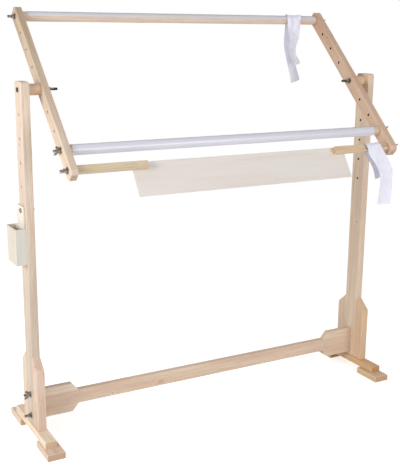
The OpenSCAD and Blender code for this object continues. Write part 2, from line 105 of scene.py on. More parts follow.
# How each kind of nut is turned on its bolt, in degrees
NUT_TURNS = {"pivot": 75, "top": 80, "lower": 35, "shelf": 60, "high_brace": 20, "low_brace": 70}

# How finely round pieces are turned
ROUND_STEPS = {"head": 48, "washer": 40, "nut": 36, "wood": 64}

# The snap-on clips
CLIP_IN_R = 10.55 * MM
CLIP_OUT_R = 11.35 * MM
CLIP_SWEEP = math.radians(200)
CLIP_STEPS = 44
CLIP_EDGE = 0.15 * MM
CLIP_SMOOTH = math.radians(40)
CLIP_CORNER = math.radians(60)
# The middle of each clip's arc, in degrees up from straight back
CLIP_FACINGS = {"top_clip": 68, "lower_clip": 172}

# The ribbons, hung as in the stand's source
RIBBON_W = 40 * MM
RIBBON_T = 0.4 * MM
RIBBON_SMOOTH = math.radians(60)
TAIL_STEPS = 34
LOOP_STEPS = 18
RIBBON_COLUMNS = 14
# A tail's fine ripple: its height, its length along the tail for each radian, and its radians across the width
RIPPLE = 0.35 * MM
RIPPLE_LENGTH = 9 * MM
RIPPLE_SLANT = 9
# A tail reaches its full cup this far below the bar. It counts as flat where the cup is less than NO_CUP
CUPPED_AT = 60 * MM
NO_CUP = 1e-4
# Where the folds of a gathered ribbon stand, from the roller's axis, and how far they reach up and down
FOLD_MIDDLE = -7 * MM
FOLD_REACH = 19 * MM

# The tilting frame
FRAME_LEAN = math.radians(46.4)


def srgb(red, green, blue):
    """A colour given as the eye sees it, in 0 to 255, as the linear colour that a shader wants."""
    linear = []
    for value in (red / 255, green / 255, blue / 255):
        linear.append(value / 12.92 if value <= 0.04045 else ((value + 0.055) / 1.055) ** 2.4)
    return (*linear, 1.0)


def tone(red, green, blue):
    """A piece's own tone, a factor on each of its colours as the eye sees them."""
    return (red ** 2.2, green ** 2.2, blue ** 2.2, 1.0)


def middle(node):
    low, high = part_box(node)
    return (low + high) / 2


# Materials

def add_node(tree, kind, inputs=None, **settings):
    node = tree.nodes.new(kind)
    for name, value in settings.items():
        setattr(node, name, value)
    for name, value in (inputs or {}).items():
        socket = node.inputs[name]
        if isinstance(value, bpy.types.NodeSocket):
            tree.links.new(value, socket)
        else:
            socket.default_value = value
    return node


def math_node(tree, operation, *values):
    node = tree.nodes.new("ShaderNodeMath")
    node.operation = operation
    for i, value in enumerate(values):
        if isinstance(value, bpy.types.NodeSocket):
            tree.links.new(value, node.inputs[i])
        else:
            node.inputs[i].default_value = value
    return node.outputs[0]


def vector_node(tree, operation, *values):
    node = tree.nodes.new("ShaderNodeVectorMath")
    node.operation = operation
    for i, value in enumerate(values):
        if isinstance(value, bpy.types.NodeSocket):
            tree.links.new(value, node.inputs[i])
        else:
            node.inputs[i].default_value = value
    return node.outputs["Value" if operation in ("DOT_PRODUCT", "LENGTH", "DISTANCE") else "Vector"]


def mix_colours(tree, factor, first, second, blend="MIX"):
    node = tree.nodes.new("ShaderNodeMix")
    node.data_type = "RGBA"
    node.blend_type = blend
    for socket, value in ((node.inputs[0], factor), (node.inputs[6], first), (node.inputs[7], second)):
        if isinstance(value, bpy.types.NodeSocket):
            tree.links.new(value, socket)
        else:
            socket.default_value = value
    return node.outputs[2]


def smooth_step(tree, value, start, end):
    """0 below start, 1 above end and smooth between them."""
    node = tree.nodes.new("ShaderNodeMapRange")
    node.interpolation_type = "SMOOTHSTEP"
    tree.links.new(value, node.inputs[0])
    node.inputs[1].default_value = start
    node.inputs[2].default_value = end
    return node.outputs[0]


def noise(tree, place, scale, detail=2.0, roughness=0.5):
    inputs = {"Vector": place, "Scale": scale, "Detail": detail, "Roughness": roughness}
    return add_node(tree, "ShaderNodeTexNoise", inputs).outputs["Fac"]


def stretched_noise(tree, place, scales, detail=3.0, roughness=0.5):
    """Noise with a scale of its own along each axis."""
    return noise(tree, vector_node(tree, "MULTIPLY", place, scales), 1.0, detail, roughness)


def tint(tree, colour, mask, strength, second):
    """The colour with the second one mixed in, by the strength where the mask is 1."""
    return mix_colours(tree, math_node(tree, "MULTIPLY", mask, strength), colour, second)


def attribute(tree, name):
    return add_node(tree, "ShaderNodeAttribute", attribute_name=name).outputs["Fac"]


def set_roughness(tree, shader, base, mask, share):
    """A roughness that grows from the base by the share where the mask is 1."""
    rough = math_node(tree, "ADD", base, math_node(tree, "MULTIPLY", mask, share))
    tree.links.new(rough, shader.inputs["Roughness"])


def new_material(name, roughness, specular=0.5, metallic=0.0, viewport=(0.8, 0.8, 0.8, 1)):
    material = bpy.data.materials.new(name)
    material.use_nodes = True
    material.diffuse_color = viewport
    shader = material.node_tree.nodes["Principled BSDF"]
    shader.inputs["Roughness"].default_value = roughness
    shader.inputs["Specular IOR Level"].default_value = specular
    shader.inputs["Metallic"].default_value = metallic
    return material, material.node_tree, shader


def bump(tree, shader, height, distance, strength=1.0):
    node = add_node(tree, "ShaderNodeBump", {"Strength": strength, "Distance": distance, "Height": height})
    tree.links.new(node.outputs[0], shader.inputs["Normal"])


GRAIN_TURNS = {
    "x": Euler((0, math.radians(-90), 0)),
    "y": Euler((math.radians(90), 0, 0)),
    "z": Euler((0, 0, 0)),
    "arm": Euler((FRAME_LEAN, 0, 0)),
}

PINE = {"early": srgb(226, 206, 184), "late": srgb(184, 151, 118), "blush": srgb(212, 184, 163),
        "end": srgb(186, 152, 120), "worn": srgb(232, 214, 194), "knot": srgb(128, 88, 56),
        "ring": 3.1 * MM, "contrast": 0.8, "streaks": 0.5}
BIRCH = {"early": srgb(240, 233, 220), "late": srgb(220, 207, 188), "blush": srgb(231, 221, 206),
         "end": srgb(206, 190, 166), "worn": srgb(244, 239, 230), "knot": srgb(190, 166, 134),
         "ring": 1.9 * MM, "contrast": 0.22, "streaks": 0.14}
PANEL_BOARD = {"early": srgb(232, 225, 219), "late": srgb(219, 210, 202), "blush": srgb(226, 215, 208),
               "end": srgb(196, 176, 152), "worn": srgb(238, 233, 227), "knot": srgb(198, 178, 156),
               "ring": 6.0 * MM, "contrast": 0.14, "streaks": 0.07}
# Painted shade for the walls inside the bores
BORE_SHADE_COLOUR = srgb(92, 62, 42)

# The boards come from different trees, so each piece has its own tone
TONES = {
    "left_post": tone(0.985, 1.005, 1.035), "right_post": tone(1.0, 1.01, 1.015),
    "left_runner": tone(1.06, 1.09, 1.1), "right_runner": tone(0.965, 0.88, 0.755),
    "left_front_pad": tone(0.98, 0.97, 0.975), "left_back_pad": tone(1.02, 1.03, 1.02),
    "right_front_pad": tone(0.99, 0.965, 0.9), "right_back_pad": tone(0.96, 0.9, 0.8),
    "left_front_cheek": tone(0.97, 0.95, 0.97), "right_front_cheek": tone(0.985, 0.94, 0.885),
    "stretcher": tone(1.0, 0.99, 0.995),
    "left_top_block": tone(1.04, 1.06, 1.08), "left_bottom_block": tone(1.02, 1.03, 1.04),
    "left_spacer": tone(1.0, 0.96, 0.93), "right_spacer": tone(1.02, 0.97, 0.9),
    "left_arm": tone(0.985, 1.005, 1.02), "right_arm": tone(0.975, 0.94, 0.925),
    "left_shelf_bar": tone(0.985, 1.0, 0.965), "right_shelf_bar": tone(1.0, 0.985, 0.935),
    "top_roller": tone(1.0, 1.02, 1.05),
    "pocket_front_wall": tone(0.86, 0.87, 0.88), "pocket_outer_wall": tone(0.865, 0.855, 0.85),
    "pocket_back": tone(0.96, 0.955, 0.95), "pocket_rear_wall": tone(0.96, 0.955, 0.95),
}
PLAIN_TONE = tone(1.0, 1.0, 1.0)
# Some boards darken along their length: where that starts and ends, from the middle, and the tone there
FADES = {
    "left_arm": (-0.19, 0.19, tone(0.875, 0.85, 0.81)),
    "right_arm": (-0.19, 0.19, tone(0.95, 0.93, 0.91)),
    # On the left post this is painted shade: it darkens towards the foot, adding to the lamps' own fall-off
    "left_post": (0.28, -0.16, tone(0.93, 0.93, 0.93)),
}
# Knots: (place, radius)
KNOTS = {
    "left_post": [((-0.4542, 0.004, 0.655), 2.6 * MM)],
    "right_post": [((0.4362, -0.006, 0.402), 2.4 * MM)],
    "left_front_cheek": [((-0.4542, -0.038, 0.178), 2.8 * MM)],
    "stretcher": [((-0.136, -0.0075, 0.0685), 6.5 * MM), ((-0.262, -0.0075, 0.066), 2.0 * MM)],
    "right_arm": [((0.393, 0.098, 0.871), 2.4 * MM)],
    "left_shelf_bar": [((-0.2535, -0.1605, 0.6262), 3.2 * MM)],
}

# The grain's noises, scaled twice across a board and once along it
WANDER_SCALES = (9.0, 9.0, 1.6)
WANDER_REACH = (0.022, 0.022, 0.0)
BAND_SCALES = (70.0, 70.0, 3.0)
BLUSH_SCALES = (60.0, 60.0, 5.0)
FIBRE_SCALES = (1500.0, 1500.0, 26.0)
STREAK_SCALES = (420.0, 420.0, 9.0)
# The texture values at which each pattern starts to show, and shows in full
RINGS_SHOW = (0.45, 1.0)
BANDS_SHOW = (0.28, 0.78)
BLUSH_SHOWS = (0.36, 0.68)
FIBRES_SHOW = (0.44, 0.64)
END_GRAIN_SHOWS = (0.75, 0.95)
# How strongly each tints the wood there
BLUSH_STRENGTH = 0.75
END_STRENGTH = 0.75
WORN_STRENGTH = 0.45
# How far apart along the grain two boards are cut, for seeds that follow each other
BOARD_SPACING = 0.13
# The distance between rings that the ring texture gives at scale 1
RING_AT_SCALE_1 = 0.314
# A knot's pull on the grain, as multiples of its radius: how far it reaches, over what length it grows, and
# its push. Along the grain it reaches further
KNOT_REACH = 3.6
KNOT_SLOPE = 3.0
KNOT_PUSH = 1.6
KNOT_SQUEEZE = (1.0, 1.0, 0.62)
# A knot is as dark as this at most, and a large one is paler
KNOT_DARKNESS = 0.6
KNOT_PALING = 1.5 * MM


def wood(node, kind, stock, grain, seed):
    """A node's timber. Its growth rings run along the piece, round a pith that lies beside the middle."""
    material, tree, shader = new_material(node + "_" + kind, 0.52, 0.32, viewport=stock["early"])
    turn = GRAIN_TURNS[grain]
    pith = (0.018 + 0.009 * (seed * 7 % 5), 0.026 - 0.011 * (seed * 3 % 4))
    shift = Vector((*pith, BOARD_SPACING * seed)) - turn.to_matrix() @ middle(node)
    place = add_node(tree, "ShaderNodeTexCoord")
    laid = add_node(tree, "ShaderNodeMapping",
                    {"Vector": place.outputs["Object"], "Rotation": turn, "Location": shift}).outputs[0]

    # Slow wander of the fibres, mostly along the piece
    slow = vector_node(tree, "MULTIPLY", laid, WANDER_SCALES)
    drift = {"Vector": slow, "Scale": 1.0, "Detail": 2.0}
    wander = add_node(tree, "ShaderNodeTexNoise", drift).outputs["Color"]
    offset = vector_node(tree, "SUBTRACT", wander, (0.5, 0.5, 0.5))
    bent = vector_node(tree, "ADD", laid, vector_node(tree, "MULTIPLY", offset, WANDER_REACH))

    # Knots swell the rings round them
    hearts = []
    for where, size in KNOTS.get(node, ()):
        spot = turn.to_matrix() @ Vector(where) + shift
        gap = vector_node(tree, "MULTIPLY", vector_node(tree, "SUBTRACT", laid, spot), KNOT_SQUEEZE)
        distance = vector_node(tree, "LENGTH", gap)
        inside = math_node(tree, "SUBTRACT", KNOT_REACH * size, distance)
        near = smooth_step(tree, inside, 0.0, KNOT_SLOPE * size)
        swell = math_node(tree, "MULTIPLY", near, KNOT_PUSH * size)
        push = add_node(tree, "ShaderNodeCombineXYZ", {"X": swell, "Y": swell}).outputs[0]
        bent = vector_node(tree, "ADD", bent, push)
        heart = smooth_step(tree, math_node(tree, "SUBTRACT", size, distance), 0.0, 0.5 * size)
        hearts.append(math_node(tree, "MULTIPLY", heart, min(KNOT_DARKNESS, KNOT_PALING / size)))

    wave = {"Vector": bent, "Scale": RING_AT_SCALE_1 / stock["ring"], "Distortion": 0.35, "Detail": 2.0,
            "Detail Scale": 0.6}
    rings = add_node(tree, "ShaderNodeTexWave", wave,
                     wave_type="RINGS", rings_direction="Z", wave_profile="SAW").outputs["Fac"]
    late = smooth_step(tree, rings, *RINGS_SHOW)
    # Broad bands, where rings lie wider or narrower, fade the pattern in and out
    broad = stretched_noise(tree, laid, BAND_SCALES)
    late = math_node(tree, "MULTIPLY", late, smooth_step(tree, broad, *BANDS_SHOW))
    late = math_node(tree, "MULTIPLY", late, stock["contrast"])
    colour = mix_colours(tree, late, stock["early"], stock["late"])
    patches = smooth_step(tree, stretched_noise(tree, laid, BLUSH_SCALES), *BLUSH_SHOWS)
    colour = tint(tree, colour, patches, BLUSH_STRENGTH, stock["blush"])

    # Fine fibres and the open pores between them
    fibres = math_node(tree, "MULTIPLY", stretched_noise(tree, bent, FIBRE_SCALES, roughness=0.6), 0.5)
    streaks = math_node(tree, "MULTIPLY", stretched_noise(tree, bent, STREAK_SCALES, roughness=0.65), 0.5)
    grainy = math_node(tree, "ADD", fibres, streaks)
    colour = tint(tree, colour, smooth_step(tree, grainy, *FIBRES_SHOW), stock["streaks"], stock["late"])

    # Sawn ends drink the light, sanded edges are paler
    along = vector_node(tree, "DOT_PRODUCT", place.outputs["Normal"],
                        turn.to_matrix().inverted() @ Z_AXIS)
    end_grain = smooth_step(tree, math_node(tree, "ABSOLUTE", along), *END_GRAIN_SHOWS)
    colour = tint(tree, colour, end_grain, END_STRENGTH, stock["end"])
    colour = tint(tree, colour, attribute(tree, "worn"), WORN_STRENGTH, stock["worn"])
    for heart in hearts:
        colour = mix_colours(tree, heart, colour, stock["knot"])
    colour = mix_colours(tree, 1.0, colour, TONES.get(node, PLAIN_TONE), "MULTIPLY")
    # Boards in FADES darken along their length; on the left post this is painted shade
    if node in FADES:
        start, end, darker = FADES[node]
        length_way = add_node(tree, "ShaderNodeSeparateXYZ", {"Vector": laid}).outputs[2]
        from_middle = math_node(tree, "SUBTRACT", length_way, BOARD_SPACING * seed)
        colour = mix_colours(tree, smooth_step(tree, from_middle, start, end), colour, darker, "MULTIPLY")
    # The bores' walls are darkened with painted shade
    colour = mix_colours(tree, attribute(tree, "bore_shade"), colour, BORE_SHADE_COLOUR)
    tree.links.new(colour, shader.inputs["Base Color"])

    rough = math_node(tree, "ADD", 0.46, math_node(tree, "MULTIPLY", grainy, 0.2))
    set_roughness(tree, shader, rough, end_grain, 0.12)
    relief = math_node(tree, "SUBTRACT", math_node(tree, "MULTIPLY", late, 0.4), grainy)
    bump(tree, shader, relief, 0.12 * MM, 0.6)
    return material


# The clip plastic's colours; the last one is painted shade for the band along a clip's top
CLIP_COLOURS = {"plain": srgb(213, 214, 225), "cloud": srgb(208, 209, 221), "line": srgb(188, 189, 204),
                "top_shade": srgb(172, 168, 184)}
DRAW_LINE_SCALES = (2.0, 1600.0, 1600.0)
DRAW_LINES_SHOW = (0.5, 0.8)
CLOUD_SCALES = (9.0, 60.0, 60.0)
CLOUDS_SHOW = (0.35, 0.8)
# The band of painted shade along a clip's top: how wide it blends in, and how strong it is
TOP_SHADE_BLEND = 0.8 * MM
TOP_SHADE_STRENGTH = 0.75


def clip_plastic(name, own_tone, shaded_above):
    """Extruded white plastic: faint draw lines along it, and a band of painted shade along its top."""
    material, tree, shader = new_material(name, 0.32, 0.5, viewport=srgb(222, 223, 236))
    place = add_node(tree, "ShaderNodeTexCoord").outputs["Object"]
    lines = stretched_noise(tree, place, DRAW_LINE_SCALES, 2.0)
    cloud = stretched_noise(tree, place, CLOUD_SCALES)
    clouded = smooth_step(tree, cloud, *CLOUDS_SHOW)
    colour = mix_colours(tree, clouded, CLIP_COLOURS["plain"], CLIP_COLOURS["cloud"])
    colour = tint(tree, colour, smooth_step(tree, lines, *DRAW_LINES_SHOW), 0.14, CLIP_COLOURS["line"])
    # Painted shade: a darker band along the clip's top
    height = add_node(tree, "ShaderNodeSeparateXYZ", {"Vector": place}).outputs[2]
    top_shade = smooth_step(tree, height, shaded_above, shaded_above + TOP_SHADE_BLEND)
    colour = tint(tree, colour, top_shade, TOP_SHADE_STRENGTH, CLIP_COLOURS["top_shade"])
    colour = mix_colours(tree, 1.0, colour, own_tone, "MULTIPLY")
    tree.links.new(colour, shader.inputs["Base Color"])
    set_roughness(tree, shader, 0.16, cloud, 0.12)
    bump(tree, shader, lines, 0.03 * MM, 0.5)
    return material


CLOTH_COLOURS = {"plain": srgb(245, 244, 255), "shade": srgb(235, 235, 254), "slub": srgb(222, 222, 246),
                 "edge": srgb(222, 221, 243)}
WEFT_SPACING = 0.5 * MM
WARP_SPACING = 0.35 * MM
SHADE_SCALE = 60.0
SHADES_SHOW = (0.3, 0.75)
SLUB_SCALES = (60.0, 900.0, 1.0)
SLUBS_SHOW = (0.5, 0.8)
CREASE_SCALES = (260.0, 9.0, 1.0)
# The cloth's creases, as a multiple of the weave's relief
CREASE_DEPTH = 14.0
# How far from the ribbon's side the woven edge starts to show, and shows in full
WOVEN_EDGE = (1.6 * MM, 1.1 * MM)


def ribbon_cloth():
    """White satin ribbon: a rib every half millimetre, a woven edge and a soft sheen."""
    material, tree, shader = new_material("ribbon_cloth", 0.55, 0.3, viewport=srgb(236, 236, 248))
    shader.inputs["Sheen Weight"].default_value = 0.25
    shader.inputs["Sheen Roughness"].default_value = 0.4
    # Thin cloth lets some light through
    shader.inputs["Subsurface Weight"].default_value = 0.1
    shader.inputs["Subsurface Radius"].default_value = (1.0, 1.0, 1.0)
    shader.inputs["Subsurface Scale"].default_value = 1.5 * MM
    uv = add_node(tree, "ShaderNodeUVMap", uv_map="cut")
    split = add_node(tree, "ShaderNodeSeparateXYZ", {"Vector": uv.outputs[0]})
    across, along = split.outputs[0], split.outputs[1]
    weft = math_node(tree, "SINE", math_node(tree, "MULTIPLY", along, 2 * math.pi / WEFT_SPACING))
    warp = math_node(tree, "SINE", math_node(tree, "MULTIPLY", across, 2 * math.pi / WARP_SPACING))
    weave = math_node(tree, "MULTIPLY", math_node(tree, "ADD", weft, 1.0), math_node(tree, "ADD", warp, 3.0))
    slub = stretched_noise(tree, uv.outputs[0], SLUB_SCALES)
    shaded = smooth_step(tree, noise(tree, uv.outputs[0], SHADE_SCALE), *SHADES_SHOW)
    colour = mix_colours(tree, shaded, CLOTH_COLOURS["plain"], CLOTH_COLOURS["shade"])
    colour = tint(tree, colour, smooth_step(tree, slub, *SLUBS_SHOW), 0.35, CLOTH_COLOURS["slub"])
    edge_starts, edge_full = (RIBBON_W / 2 - inward for inward in WOVEN_EDGE)
    edge = smooth_step(tree, math_node(tree, "ABSOLUTE", across), edge_starts, edge_full)
    colour = tint(tree, colour, edge, 0.35, CLOTH_COLOURS["edge"])
    tree.links.new(colour, shader.inputs["Base Color"])
    set_roughness(tree, shader, 0.42, slub, 0.25)
    woven = math_node(tree, "MULTIPLY", weave, 0.12)
    relief = math_node(tree, "ADD", woven, math_node(tree, "MULTIPLY", edge, 0.6))
    creases = stretched_noise(tree, uv.outputs[0], CREASE_SCALES, roughness=0.6)
    relief = math_node(tree, "ADD", relief, math_node(tree, "MULTIPLY", creases, CREASE_DEPTH))
    bump(tree, shader, relief, 0.08 * MM, 0.7)
    return material


STEEL_COLOURS = {"dull": srgb(92, 87, 79), "bright": srgb(176, 169, 158), "rubbed": srgb(226, 221, 211)}
SPANGLE_SCALE = 420.0
SPANGLES_SHOW = (0.35, 0.7)
SCRATCH_SCALES = (3200.0, 600.0, 600.0)
SCRATCHES_SHOW = (0.58, 0.75)


def zinc_steel(name, own_tone):
    """Dull zinc plating gone bronze grey, with brighter rubbed spots and fine scratches."""
    material, tree, shader = new_material(name, 0.34, 0.5, 1.0, srgb(120, 113, 103))
    place = add_node(tree, "ShaderNodeTexCoord").outputs["Object"]
    spangle = noise(tree, place, SPANGLE_SCALE, 3.0)
    scratches = stretched_noise(tree, place, SCRATCH_SCALES, 2.0)
    polished = smooth_step(tree, spangle, *SPANGLES_SHOW)
    colour = mix_colours(tree, polished, STEEL_COLOURS["dull"], STEEL_COLOURS["bright"])
    colour = tint(tree, colour, smooth_step(tree, scratches, *SCRATCHES_SHOW), 0.4, STEEL_COLOURS["rubbed"])
    colour = mix_colours(tree, 1.0, colour, own_tone, "MULTIPLY")
    tree.links.new(colour, shader.inputs["Base Color"])
    set_roughness(tree, shader, 0.14, spangle, 0.3)
    bump(tree, shader, scratches, 0.02 * MM, 0.4)
    return material


# Each clip's own tone, and how far below its top the painted shade starts
CLIP_TONES = {
    "top_clip": (tone(1.0, 0.98, 0.96), 2.4 * MM),
    "lower_clip": (tone(1.015, 1.01, 1.005), 1.0 * MM),
}
CLIP_PLASTICS = {}
for clip_node, (clip_tone, shade_depth) in CLIP_TONES.items():
    CLIP_PLASTICS[clip_node] = clip_plastic(clip_node + "_plastic", clip_tone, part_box(clip_node)[1].z - shade_depth)
RIBBON_CLOTH = ribbon_cloth()
ZINC_STEEL = zinc_steel("zinc_steel", PLAIN_TONE)
DARK_STEEL = zinc_steel("dark_steel", tone(0.62, 0.56, 0.47))


# Making pieces

def finish_piece(name, bm, body, material, nodes, smooth=SHARP_EDGE):
    """Writes a bmesh out as a piece of that body, which stands for the named nodes."""
    mesh = bpy.data.meshes.new(name)
    bm.to_mesh(mesh)
    bm.free()
    mesh.shade_smooth()
    mesh.set_sharp_from_angle(angle=smooth)
    mesh.materials.append(material)
    piece = bpy.data.objects.new(name, mesh)
    bpy.context.scene.collection.objects.link(piece)
    even = piece.modifiers.new("even_shading", "WEIGHTED_NORMAL")
    even.keep_sharp = True
    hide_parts(*nodes)
    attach(piece, body)
    return piece


def round_edges(bm, edges, width, steps, clamp):
    return bmesh.ops.bevel(bm, geom=edges, offset=width, offset_type="OFFSET", segments=steps, profile=0.5,
                           affect="EDGES", material=-1, clamp_overlap=clamp)


def thicken(bm, face, way):
    """Pulls a flat face out into a solid along the way, and gives the vertices that moved."""
    made = bmesh.ops.extrude_face_region(bm, geom=[face])
    moved = [item for item in made["geom"] if isinstance(item, bmesh.types.BMVert)]
    bmesh.ops.translate(bm, vec=way, verts=moved)
    return moved


def soften(node, body, material, width, glued=()):
    """A CAD piece with its long edges rounded. Edges on a glued plane, (axis, place), stay crisp."""
    bm = bmesh.new()
    bm.from_mesh(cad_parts[node].data)
    bmesh.ops.remove_doubles(bm, verts=bm.verts, dist=MERGE)
    bmesh.ops.dissolve_limit(bm, angle_limit=FLAT, verts=bm.verts, edges=bm.edges)

    def is_glued(edge):
        return any(all(abs(v.co[axis] - place) < MERGE for v in edge.verts) for axis, place in glued)

    def is_outline(edge):
        if len(edge.link_faces) != 2 or edge.calc_length() < SHORTEST_EDGE:
            return False
        return edge.calc_face_angle() > SHARP_EDGE

    worn = bm.faces.layers.float.new("worn")
    bore_shade = bm.faces.layers.float.new("bore_shade")
    # Bore walls are marked for painted shade
    for face in bm.faces:
        if abs(face.normal.x) < BORE_FACING and face.calc_area() < BORE_FACET:
            face[bore_shade] = RIGHT_BORE_SHADE if face.calc_center_median().x > 0 else LEFT_BORE_SHADE
    outline = [edge for edge in bm.edges if is_outline(edge)]
    open_edges = [edge for edge in outline if not is_glued(edge)]
    for face in round_edges(bm, open_edges, width, EDGE_STEPS, False)["faces"]:
        face[worn] = 1.0
        face[bore_shade] = 0.0
    return finish_piece(node + "_wood", bm, body, material, [node])


def spin_profile(bm, profile, steps):
    """Turns an outline of (place along X, radius) points about X. Points on the axis close it."""
    verts = [bm.verts.new((x, 0, r)) for x, r in profile]
    closed = profile[0][1] > 0 and profile[-1][1] > 0
    edges = [bm.edges.new(pair) for pair in zip(verts, verts[1:])]
    if closed:
        edges.append(bm.edges.new((verts[-1], verts[0])))
    bmesh.ops.spin(bm, geom=verts + edges, cent=(0, 0, 0), axis=X_AXIS, angle=2 * math.pi,
                   steps=steps, use_merge=True)
    bmesh.ops.remove_doubles(bm, verts=bm.verts, dist=0.2 * MERGE)
    bmesh.ops.recalc_face_normals(bm, faces=bm.faces)


def place_right_or_left(bm, verts, side, point):
    """Moves a shape drawn along +X from the origin to its place, and mirrors it on the left."""
    move = Matrix.Translation(Vector((side * point[0], point[1], point[2])))
    mirror = Matrix.Diagonal((side, 1, 1, 1))
    bmesh.ops.transform(bm, matrix=move @ mirror, verts=verts)
    if side == LEFT:
        faces = {face for vert in verts for face in vert.link_faces}
        bmesh.ops.reverse_faces(bm, faces=list(faces))


def add_part(target, part, side, point):
    """Adds a shape drawn along +X to the target at its place, and frees it."""
    place_right_or_left(part, part.verts, side, point)
    mesh = bpy.data.meshes.new("part")
    part.to_mesh(mesh)
    part.free()
    target.from_mesh(mesh)
    bpy.data.meshes.remove(mesh)


def threaded_rod(length):
    """A rod with a true helical thread along +X from the origin, its tips chamfered."""
    bm = bmesh.new()
    root = BOLT_R - THREAD_DEPTH
    turns = round(length / THREAD_PITCH) - 1
    profile = [(0, root)] + [(share * THREAD_PITCH, CREST_R) for share in CREST] + [(THREAD_PITCH, root)]
    verts = [bm.verts.new((x, 0, r)) for x, r in profile]
    edges = [bm.edges.new(pair) for pair in zip(verts, verts[1:])]
    steps = turns * THREAD_STEPS
    bmesh.ops.spin(bm, geom=verts + edges, cent=(0, 0, 0), axis=X_AXIS, angle=2 * math.pi * turns,
                   steps=steps, dvec=X_AXIS * THREAD_PITCH / THREAD_STEPS)
    bmesh.ops.remove_doubles(bm, verts=bm.verts, dist=MERGE)
    bmesh.ops.holes_fill(bm, edges=bm.edges, sides=0)
    bmesh.ops.triangulate(bm, faces=[face for face in bm.faces if len(face.verts) > 4])
    bmesh.ops.recalc_face_normals(bm, faces=bm.faces)
    scale = length / ((turns + 1) * THREAD_PITCH)
    for vert in bm.verts:
        vert.co.x = min(vert.co.x * scale, length)
        radius = math.hypot(vert.co.y, vert.co.z)
        limit = BOLT_R - TIP_CHAMFER + min(vert.co.x, length - vert.co.x)
        if radius > limit:
            vert.co.yz = Vector((vert.co.y, vert.co.z)) * (limit / radius)
    return bm


def stud_group(body, node, seats):
    """The threaded studs of one body. Each seat is (side, start, end, y, z) along the stand's width."""
    bm = bmesh.new()
    for side, start, end, y, z in seats:
        add_part(bm, threaded_rod(end - start), side, (start, y, z))
    return finish_piece(node + "_steel", bm, body, ZINC_STEEL, [node])


def dome_profile(start):
    """The outline of a domed head standing on start, from its rim to its top on the axis."""
    steps = 7
    radius = HEAD_D / 2
    soft = 0.15 * MM
    points = [(start, radius - 2 * soft), (start + soft, radius - soft), (start + HEAD_RIM, radius)]
    for i in range(1, steps):
        angle = math.radians(90 * i / steps)
        points.append((start + HEAD_RIM + (HEAD_H - HEAD_RIM) * math.sin(angle), radius * math.cos(angle)))
    return points + [(start + HEAD_H, 0)]


def domed_bolt(tip, thread_end, seat):
    """A bolt along +X: threaded from its tip, then a plain shank, then a domed head beyond the seat."""
    bm = threaded_rod(thread_end - tip)
    bmesh.ops.translate(bm, vec=X_AXIS * tip, verts=bm.verts)
    shank = bmesh.new()
    start = thread_end - 0.5 * MM
    profile = [(start, 0), (start, SHANK_R), (seat, SHANK_R)] + dome_profile(seat)
    spin_profile(shank, profile, ROUND_STEPS["head"])
    add_part(bm, shank, RIGHT, (0, 0, 0))
    return bm


def washer_shape():
    bm = bmesh.new()
    soft = 0.2 * MM
    outer = WASHER_D / 2
    spin_profile(bm, [(0, HOLE_R), (0, outer - soft), (soft, outer), (WASHER_T - soft, outer),
                      (WASHER_T, outer - soft), (WASHER_T, HOLE_R + soft), (WASHER_T - soft, HOLE_R)],
                 ROUND_STEPS["washer"])
    return bm


def washer_group(body, node, seats):
    """The washers of one body. Each seat is (side, start, y, z) along the stand's width."""
    bm = bmesh.new()
    for side, start, y, z in seats:
        add_part(bm, washer_shape(), side, (start, y, z))
    return finish_piece(node + "_steel", bm, body, ZINC_STEEL, [node])


def curve_points(start, bend, end, steps):
    """Points of a smooth bow from start to end that leans toward bend, without its first point."""
    points = []
    for i in range(1, steps + 1):
        t = i / steps
        guides = zip(start, bend, end)
        points.append(tuple((1 - t) ** 2 * a + 2 * t * (1 - t) * b + t * t * c for a, b, c in guides))
    return points


def wing(bm, end):
    """One wing of a wing nut, its outline in the plane of the bolt (X) and the span (Z)."""
    root = NUT_HUB_D / 2 - WING_SUNK
    tip = (WING_H - WING_TIP_R, WING_SPAN / 2 - WING_TIP_R)
    low = (WING_FOOT, root)
    high = (NUT_HUB_H - 0.4 * MM, root)
    arc = []
    for i in range(WING_TIP_STEPS + 1):
        angle = WING_TIP_START - WING_TIP_SWEEP * i / WING_TIP_STEPS
        arc.append((tip[0] + WING_TIP_R * math.cos(angle), tip[1] + WING_TIP_R * math.sin(angle)))
    outline = [low] + curve_points(low, (2.4 * MM, tip[1] - 1.2 * MM), arc[0], 5) + arc[1:]
    outline += curve_points(arc[-1], (tip[0] - 0.8 * MM, root + 1.6 * MM), high, 4)
    verts = [bm.verts.new((x, -WING_T / 2, end * z)) for x, z in outline]
    shell = verts + thicken(bm, bm.faces.new(verts), Y_AXIS * WING_T)
    for vert in shell:
        # Thick at the hub and thin at the tip, as a forged wing is
        reach = (abs(vert.co.z) - root) / (WING_SPAN / 2 - root)
        vert.co.y *= WING_ROOT_SHARE - WING_TAPER * reach
    faces = list({face for vert in shell for face in vert.link_faces})
    bmesh.ops.recalc_face_normals(bm, faces=faces)
    rims = [edge for edge in {edge for face in faces for edge in face.edges}
            if edge.calc_face_angle(0) > WING_RIM]
    round_edges(bm, rims, WING_EDGE, 3, True)


